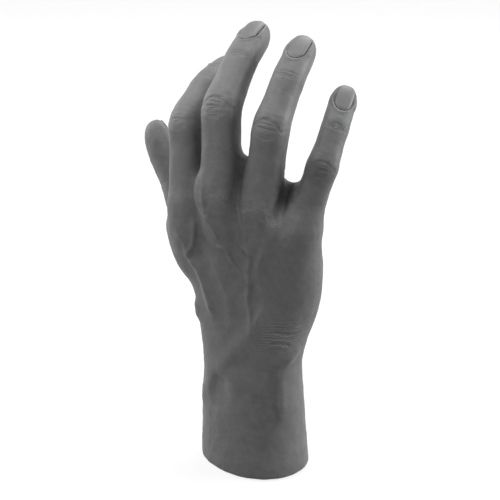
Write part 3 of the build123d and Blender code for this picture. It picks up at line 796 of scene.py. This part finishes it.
def makePiece(name, wanted):
    part = faces[label == wanted]
    loops = capLoops(part)
    used, where = np.unique(part, return_inverse=True)
    place = {v: i for i, v in enumerate(used.tolist())}
    co, no = list(verts[used]), list(normals[used])
    paint = {kind: list(values[used]) for kind, values in skinPaint.items()}
    polys = where.reshape(-1, 4).tolist()
    for loop in loops:
        middle = len(co)
        co.append(verts[loop].mean(0))
        no.append(np.array([0.0, 0.0, 1.0]))
        for kind, value in capPaint.items():
            paint[kind].append(value)
        polys += [[place[a], place[b], middle] for a, b in zip(loop, loop[1:] + loop[:1])]
    mesh = bpy.data.meshes.new(name)
    mesh.from_pydata((np.array(co) * mm).tolist(), [], polys)
    mesh.update()
    mesh.polygons.foreach_set("use_smooth", np.ones(len(polys), bool))
    rest = mesh.attributes.new("restPlace", "FLOAT_VECTOR", "POINT")
    rest.data.foreach_set("vector", np.array(co).ravel())
    for kind, values in paint.items():
        mesh.attributes.new(kind, "FLOAT", "POINT").data.foreach_set("value", np.array(values))
    mesh.normals_split_custom_set_from_vertices(np.array(no).tolist())
    mesh.materials.append(skin)
    piece = bpy.data.objects.new(name, mesh)
    bpy.context.collection.objects.link(piece)
    print(name, len(part), "rims", len(loops))
    return piece


palmPiece = makePiece("palmSkin", "palm")
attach(palmPiece, "palm")
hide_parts("palm_skin")
for name, spec in fingers.items():
    cut = cuts[name]
    piece = makePiece(name + "RootSkin", name + "Root")
    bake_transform(piece)
    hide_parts(name + "_base_skin")
    stations = spec["stations"]
    if "bend" in cut:
        way = unit(2 * unit(stations[1] - stations[0]) + unit(stations[2] - stations[1]))
        piece = makePiece(name + "MiddleSkin", name + "Middle")
        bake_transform(piece)
        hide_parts(name + "_mid_skin")
    way = unit(unit(stations[-2] - stations[-3]) + unit(stations[-1] - stations[-2]))
    piece = makePiece(name + "EndSkin", name + "End")
    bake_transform(piece)
    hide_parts(name + "_tip_skin")

# nail plates on the skin under them
nailLook = {
    "grey": (0.110, 0.110, 0.112), "uneven": 0.09, "cloudScale": 0.35, "cloudDetail": 3.0,
    "roughness": 0.48, "roughSpan": 0.12, "ridges": (1.5, 0.06, 0.06), "bump": 0.3, "depth": 0.0001,
}
nailPaint = bpy.data.materials.new("nailGrey")
nailPaint.use_nodes = True
nodes, links = nailPaint.node_tree.nodes, nailPaint.node_tree.links
shade = nodes["Principled BSDF"]
place = readPaint("nailPlace").outputs["Vector"]
cloudy = noiseAt(place, nailLook["cloudScale"], nailLook["cloudDetail"])
greys = nodes.new("ShaderNodeValToRGB")
for element, way in zip(greys.color_ramp.elements, (-1, 1)):
    element.color = tuple(c * (1 + way * nailLook["uneven"]) for c in nailLook["grey"]) + (1,)
links.new(cloudy, greys.inputs["Fac"])
links.new(greys.outputs["Color"], shade.inputs["Base Color"])
least = nailLook["roughness"] - nailLook["roughSpan"] / 2
dullness = work("MULTIPLY_ADD", cloudy, nailLook["roughSpan"], least)
links.new(dullness, shade.inputs["Roughness"])
# fine ridges along the nail
stretch = nodes.new("ShaderNodeMapping")
stretch.inputs["Scale"].default_value = nailLook["ridges"]
links.new(place, stretch.inputs["Vector"])
bump = nodes.new("ShaderNodeBump")
bump.inputs["Strength"].default_value = nailLook["bump"]
bump.inputs["Distance"].default_value = nailLook["depth"]
links.new(noiseAt(stretch.outputs["Vector"], 1.0, 2.0), bump.inputs["Height"])
links.new(bump.outputs["Normal"], shade.inputs["Normal"])


def lineAt(spec, s):
    return [np.interp(s, spec["run"], spec["line"][:, k]) for k in range(2)]


def fingerOut(spec, s, x, y):
    # back from run, side and pad offsets to the hand
    step = 0.2
    u, v = lineAt(spec, s)
    ahead, behind = lineAt(spec, s + step), lineAt(spec, s - step)
    du, dv = ahead[0] - behind[0], ahead[1] - behind[1]
    size = np.sqrt(du * du + dv * dv)
    u, v = u - y * dv / size, v + y * du / size
    flat = spec["root"] + u[:, None] * spec["along"] + v[:, None] * spec["palmWay"]
    return flat + x[:, None] * spec["side"]


# points across and along a plate, narrowing and tuck of its base, roll of its front, height over the skin,
# and where and how deep its rim goes under
plateForm = {"across": 25, "length": 33, "narrow": 0.08, "tuck": 0.3, "roll": 0.93, "proud": 0.12,
             "rimSide": 0.86, "rimBase": 0.9, "sink": 0.3, "sharp": 50}
across, length = plateForm["across"], plateForm["length"]
for name, spec in fingers.items():
    start, end, wide = nailPlace(spec)
    plane = np.meshgrid(np.linspace(-1, 1, across), np.linspace(0, 1, length), indexing="ij")
    u, v = (g.ravel() for g in plane)
    x = wide * u * (1 - plateForm["narrow"] * (1 - v) ** 2)
    first = start + baseCurve(u) - plateForm["tuck"]
    last = end - frontCurve(u)
    s = first + v * (last - first)
    half, back = (np.interp(s, spec["fine"], spec["table"][:, k]) for k in range(2))
    cap = np.clip((s - spec["capStart"]) / (spec["capEnd"] - spec["capStart"]), 0, 0.99)
    n = fingerForm["endRound"]
    ring = (1 - (plateForm["roll"] * cap) ** n) ** (1 / n)
    n = fingerForm["squareness"]
    top = -back * np.clip(ring ** n - np.abs(x / half) ** n, 0.01, None) ** (1 / n)
    rim = np.maximum(ease(np.abs(u), plateForm["rimSide"], 1), ease(1 - v, plateForm["rimBase"], 1))
    top = top - plateForm["proud"] + plateForm["sink"] * rim
    within = np.minimum(s, spec["capEnd"] - 0.01)
    outer = fingerOut(spec, within, x, top)
    inner = fingerOut(spec, within, x, top + nailShape["thick"])
    n = across * length
    polys = []
    for i in range(across - 1):
        for j in range(length - 1):
            a, b = i * length + j, (i + 1) * length + j
            c, d = b + 1, a + 1
            polys += [(a, b, c, d), (d + n, c + n, b + n, a + n)]
    ringWay = [i * length for i in range(across)]
    ringWay += [(across - 1) * length + j for j in range(1, length)]
    ringWay += [i * length + length - 1 for i in range(across - 2, -1, -1)]
    ringWay += list(range(length - 2, 0, -1))
    polys += [(b, a, a + n, b + n) for a, b in zip(ringWay, ringWay[1:] + ringWay[:1])]
    mesh = bpy.data.meshes.new(name + "Nail")
    mesh.from_pydata((np.concatenate([outer, inner]) * mm).tolist(), [], polys)
    mesh.update()
    shell = bmesh.new()
    shell.from_mesh(mesh)
    bmesh.ops.recalc_face_normals(shell, faces=shell.faces)
    shell.to_mesh(mesh)
    shell.free()
    mesh.polygons.foreach_set("use_smooth", np.ones(len(polys), bool))
    mesh.set_sharp_from_angle(angle=math.radians(plateForm["sharp"]))
    onNail = mesh.attributes.new("nailPlace", "FLOAT_VECTOR", "POINT")
    onNail.data.foreach_set("vector", np.tile(np.stack([x, s, 0 * s], 1), (2, 1)).ravel())
    mesh.materials.append(nailPaint)
    plate = bpy.data.objects.new(name + "Nail", mesh)
    bpy.context.collection.objects.link(plate)
    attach(plate, name + "_tip")
    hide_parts(name + "_nail")
print("nails set")

# steel inside and the plate underneath: grey, metalness, roughness, grain along x, y and z
hardLooks = {
    "link": ((0.32, 0.32, 0.33), 1.0, 0.42, (400, 400, 60)),
    "rod": ((0.36, 0.36, 0.37), 1.0, 0.36, (400, 400, 40)),
    "pin": ((0.5, 0.5, 0.5), 1.0, 0.25, (60, 400, 400)),
    "block": ((0.3, 0.3, 0.31), 1.0, 0.5, (300, 300, 300)),
    "post": ((0.36, 0.36, 0.37), 1.0, 0.34, (400, 400, 40)),
    "plate": ((0.05, 0.05, 0.052), 0.0, 0.62, (350, 350, 350)),
    "screws": ((0.42, 0.42, 0.42), 1.0, 0.3, (200, 200, 400)),
}
hardGrain = {"scale": 4, "detail": 5, "duller": 0.12, "shinier": 0.1, "shades": (0.85, 1.12), "bump": 0.2,
             "depth": 0.0001}


def hardPaint(name, grey, metal, rough, grainScale):
    paint = bpy.data.materials.new(name + "Paint")
    paint.use_nodes = True
    nodes, links = paint.node_tree.nodes, paint.node_tree.links
    shade = nodes["Principled BSDF"]
    shade.inputs["Metallic"].default_value = metal
    spot = nodes.new("ShaderNodeTexCoord")
    stretch = nodes.new("ShaderNodeMapping")
    stretch.inputs["Scale"].default_value = grainScale
    grainNoise = nodes.new("ShaderNodeTexNoise")
    grainNoise.inputs["Scale"].default_value = hardGrain["scale"]
    grainNoise.inputs["Detail"].default_value = hardGrain["detail"]
    links.new(spot.outputs["Object"], stretch.inputs["Vector"])
    links.new(stretch.outputs["Vector"], grainNoise.inputs["Vector"])
    roughRange = nodes.new("ShaderNodeMapRange")
    roughRange.inputs["To Min"].default_value = rough - hardGrain["shinier"]
    roughRange.inputs["To Max"].default_value = rough + hardGrain["duller"]
    links.new(grainNoise.outputs["Fac"], roughRange.inputs["Value"])
    links.new(roughRange.outputs["Result"], shade.inputs["Roughness"])
    greys = nodes.new("ShaderNodeValToRGB")
    for element, share in zip(greys.color_ramp.elements, hardGrain["shades"]):
        element.color = tuple(share * c for c in grey) + (1,)
    links.new(grainNoise.outputs["Fac"], greys.inputs["Fac"])
    links.new(greys.outputs["Color"], shade.inputs["Base Color"])
    bump = nodes.new("ShaderNodeBump")
    bump.inputs["Strength"].default_value = hardGrain["bump"]
    bump.inputs["Distance"].default_value = hardGrain["depth"]
    links.new(grainNoise.outputs["Fac"], bump.inputs["Height"])
    links.new(bump.outputs["Normal"], shade.inputs["Normal"])
    return paint


hardPaints = {kind: hardPaint(kind, *look) for kind, look in hardLooks.items()}
for name, node in frame["nodes"].items():
    kind = name.split("_")[-1]
    if kind in hardPaints:
        node.data.materials.clear()
        node.data.materials.append(hardPaints[kind])
print("steel and plate painted")

# camera where the photo was taken from
view = {"turn": 26.1, "rise": 21.8, "away": 1.0, "aim": (-0.0086, 0.015, 0.1146), "lens": 133.9}
turn, rise = math.radians(view["turn"]), math.radians(view["rise"])
back = Vector((math.sin(turn) * math.cos(rise), -math.cos(turn) * math.cos(rise), math.sin(rise)))
cameraData = bpy.data.cameras.new("camera")
cameraData.lens = view["lens"]
camera = bpy.data.objects.new("camera", cameraData)
camera.location = Vector(view["aim"]) + back * view["away"]
camera.rotation_euler = back.to_track_quat("Z", "Y").to_euler()
bpy.context.collection.objects.link(camera)
bpy.context.scene.camera = camera

# white studio: soft lamps high behind, in front and at the front left, and lower at both sides
lamps = {  # place, power
    "rearLamp": ((0.0, 0.63, 1.03), 9.6), "frontLamp": ((0.0, -0.63, 1.03), 3.8),
    "leftFrontLamp": ((-0.55, -0.32, 1.03), 7.2), "rightLamp": ((0.91, 0.52, 0.47), 13.6),
    "leftLamp": ((-1.04, 0.09, 0.47), 6.7),
}
studio = {
    "aim": (0, 0, 0.13), "lampSize": 0.8, "surround": 0.17, "floorHalf": 6, "glow": 0.75,
    "paper": (0.3, 0.3, 0.3, 1), "paperSeen": (0.85, 0.85, 0.85, 1), "paperRoughness": 0.9,
}
bpy.context.scene.view_settings.view_transform = "Standard"
world = bpy.data.worlds.new("studio")
bpy.context.scene.world = world
world.use_nodes = True
nodes, links = world.node_tree.nodes, world.node_tree.links
dim = nodes["Background"]
dim.inputs["Color"].default_value = (1, 1, 1, 1)
dim.inputs["Strength"].default_value = studio["surround"]
white = nodes.new("ShaderNodeBackground")
white.inputs["Strength"].default_value = 1
choose = nodes.new("ShaderNodeMixShader")


def seenWhite():
    # the rays that see white: straight from the camera, mirrored, or let through
    rays = nodes.new("ShaderNodeLightPath")
    seen = work("MAXIMUM", rays.outputs["Is Camera Ray"], rays.outputs["Is Glossy Ray"])
    return work("MAXIMUM", seen, rays.outputs["Is Transmission Ray"])


links.new(seenWhite(), choose.inputs["Fac"])
links.new(dim.outputs["Background"], choose.inputs[1])
links.new(white.outputs["Background"], choose.inputs[2])
links.new(choose.outputs["Shader"], nodes["World Output"].inputs["Surface"])

for name, (place, power) in lamps.items():
    data = bpy.data.lights.new(name, "AREA")
    data.shape = "DISK"
    data.size = studio["lampSize"]
    data.energy = power
    lamp = bpy.data.objects.new(name, data)
    lamp.location = place
    lamp.rotation_euler = (Vector(place) - Vector(studio["aim"])).to_track_quat("Z", "Y").to_euler()
    bpy.context.collection.objects.link(lamp)

half = studio["floorHalf"]
floorMesh = bpy.data.meshes.new("floor")
floorCorners = [(-half, -half, 0), (half, -half, 0), (half, half, 0), (-half, half, 0)]
floorMesh.from_pydata(floorCorners, [], [(0, 1, 2, 3)])
floor = bpy.data.objects.new("floor", floorMesh)
bpy.context.collection.objects.link(floor)
paper = bpy.data.materials.new("paper")
paper.use_nodes = True
nodes, links = paper.node_tree.nodes, paper.node_tree.links
dull = nodes["Principled BSDF"]
dull.inputs["Base Color"].default_value = studio["paper"]
dull.inputs["Roughness"].default_value = studio["paperRoughness"]
pale = nodes.new("ShaderNodeBsdfDiffuse")
pale.inputs["Color"].default_value = studio["paperSeen"]
glow = nodes.new("ShaderNodeEmission")
seen = nodes.new("ShaderNodeMixShader")
choose = nodes.new("ShaderNodeMixShader")
seen.inputs["Fac"].default_value = studio["glow"]
links.new(pale.outputs["BSDF"], seen.inputs[1])
links.new(glow.outputs["Emission"], seen.inputs[2])
links.new(seenWhite(), choose.inputs["Fac"])
links.new(dull.outputs["BSDF"], choose.inputs[1])
links.new(seen.outputs["Shader"], choose.inputs[2])
links.new(choose.outputs["Shader"], nodes["Material Output"].inputs["Surface"])
floorMesh.materials.append(paper)
print("studio lit")
